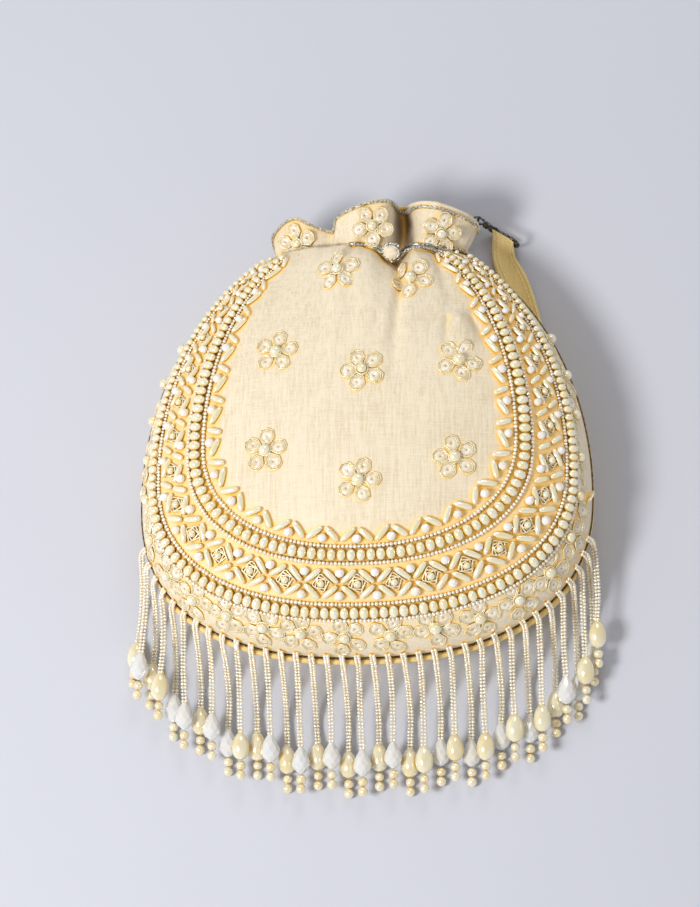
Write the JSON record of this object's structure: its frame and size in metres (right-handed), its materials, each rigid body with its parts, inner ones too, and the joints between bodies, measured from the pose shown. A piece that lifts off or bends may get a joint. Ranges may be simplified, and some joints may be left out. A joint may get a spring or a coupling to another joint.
{
  "type": "potli bag",
  "caption": "Drawstring potli bag in raw silk with a gathered frilled mouth, pearl and sequin embroidery, a beaded drop fringe and a wrist strap on a snap hook.",
  "frame": {"origin": "middle of the flat patch of the back panel that the bag lies on", "axes": "+X to the bag's right, +Y towards its mouth, +Z through its thickness, from the back to the embroidered front"},
  "size_m": [0.2163, 0.2628, 0.0654],
  "materials": {
    "silk": "raw silk with slubs, soft sheen, champagne",
    "tan_silk": "plain tan silk, soft sheen",
    "lining_satin": "smooth satin",
    "pearl": "warm ivory pearl lacquer",
    "seed_bead": "ivory seed beads on thread",
    "sequin": "clear to milky, outlined in gold-silver wire",
    "metallic_thread": "silver metallic thread",
    "dark_metal": "dark antique plating"
  },
  "bodies": {
    "bag": {"front_panel": "silk", "back_panel": "tan_silk", "lining": "lining_satin", "mouth_frill": "silk", "frill_lace": "metallic_thread", "drawstring": "metallic_thread", "seam_piping": "metallic_thread", "inner_zigzag": "pearl", "diamond_row_a": "pearl", "diamond_row_b": "pearl", "oval_pearl_row_1": "pearl", "oval_pearl_row_2": "pearl", "seed_row_1": "seed_bead", "seed_row_2": "seed_bead", "seed_row_3": "seed_bead", "seed_row_4": "seed_bead", "field_flower_1": "sequin", "field_flower_2": "sequin", "field_flower_3": "sequin", "field_flower_4": "sequin", "field_flower_5": "sequin", "field_flower_6": "sequin", "field_flower_7": "sequin", "field_flower_8": "sequin", "frill_flower_1": "sequin", "frill_flower_2": "sequin", "frill_flower_3": "sequin", "border_flower_1": "sequin", "border_flower_2": "sequin", "border_flower_3": "sequin", "border_flower_4": "sequin", "border_flower_5": "sequin", "border_flower_6": "sequin", "border_flower_7": "sequin", "border_flower_8": "sequin", "border_flower_9": "sequin", "border_flower_10": "sequin", "border_flower_11": "sequin", "border_flower_12": "sequin", "border_flower_13": "sequin", "border_flower_14": "sequin", "border_flower_15": "sequin", "border_flower_16": "sequin", "border_flower_17": "sequin", "border_flower_18": "sequin", "border_flower_19": "sequin", "border_flower_20": "sequin", "fringe_1": "seed_bead", "fringe_2": "seed_bead", "fringe_3": "seed_bead", "fringe_4": "seed_bead", "fringe_5": "seed_bead", "fringe_6": "seed_bead", "chain_ring_1": "dark_metal", "chain_ring_2": "dark_metal", "chain_ring_3": "dark_metal", "claw_body": "dark_metal", "wrist_strap": "tan_silk"},
    "gate": {"claw_gate": "dark_metal"}
  },
  "joints": [
    {"name": "gate_hinge", "type": "hinge", "parent": "bag", "child": "gate", "pos_m": [0.05323, 0.11539, 0.01], "axis": [0.5736, 0.8192, 0], "range_deg": [0, 20], "stiffness_Nm_per_rad": 0.002}
  ]
}
